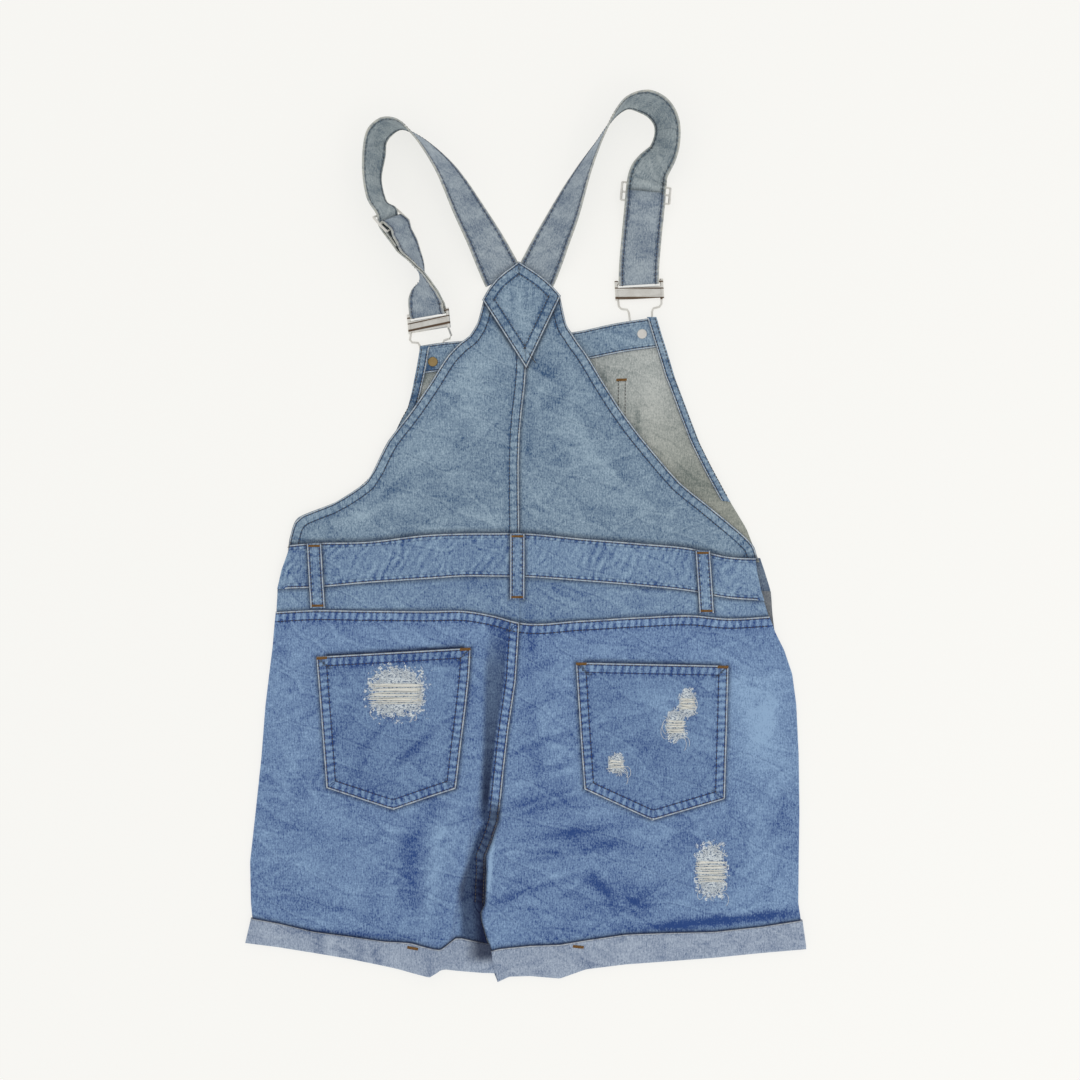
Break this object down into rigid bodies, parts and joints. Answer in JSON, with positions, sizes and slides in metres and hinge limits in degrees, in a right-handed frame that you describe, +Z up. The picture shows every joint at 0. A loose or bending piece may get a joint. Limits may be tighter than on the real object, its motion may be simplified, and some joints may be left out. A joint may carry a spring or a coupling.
{
  "type": "denim shortalls, laid flat with the back up",
  "caption": "Denim short dungarees laid flat, back up, with a bib, adjustable straps with buckles and sliders, back pockets, belt loops and turned-up cuffs.",
  "frame": {"origin": "on the surface that the garment lies on, under the middle of its outline", "axes": "+Z up out of the garment's back, +Y from the cuffs towards the straps, +X to the right when the back is looked at with the straps at the top"},
  "size_m": [0.5319, 0.8384, 0.044],
  "materials": {
    "denim_leg": "washed blue denim",
    "denim_bib": "lighter washed blue denim",
    "denim_pocket": "deeper blue denim with frayed rips",
    "denim_cuff": "pale wrong side of the denim, turned up",
    "denim_inside": "pale greenish grey wrong side of the denim",
    "denim_strap": "washed grey blue denim strap with pale edges",
    "thread": "dark olive brown sewing thread, orange at the bar tacks",
    "steel": "bright plated steel",
    "brass": "dull brass"
  },
  "bodies": {
    "root": {"bib_back_left": "denim_bib", "bib_back_right": "denim_bib", "bib_back_diamond": "denim_bib", "waistband_back": "denim_bib", "waistband_front": "denim_inside", "yoke_back_left": "denim_bib", "yoke_back_right": "denim_bib", "leg_back_left": "denim_leg", "leg_back_right": "denim_leg", "leg_front_left": "denim_leg", "leg_front_right": "denim_leg", "cuff_back_left": "denim_cuff", "cuff_back_right": "denim_cuff", "cuff_front_left": "denim_cuff", "cuff_front_right": "denim_cuff", "pocket_back_left": "denim_pocket", "pocket_back_right": "denim_pocket", "belt_loop_left": "denim_bib", "belt_loop_centre": "denim_bib", "belt_loop_right": "denim_bib", "bib_front": "denim_inside", "bib_top_band": "denim_bib", "bib_side_facing_left": "denim_bib", "bib_side_facing_right": "denim_bib", "bib_pocket": "denim_bib", "strap_left": "denim_strap", "strap_right": "denim_strap", "slider_left": "steel", "slider_right": "steel", "buckle_left": "steel", "buckle_right": "steel", "bib_button_left": "brass", "bib_button_right": "steel"}
  },
  "joints": []
}
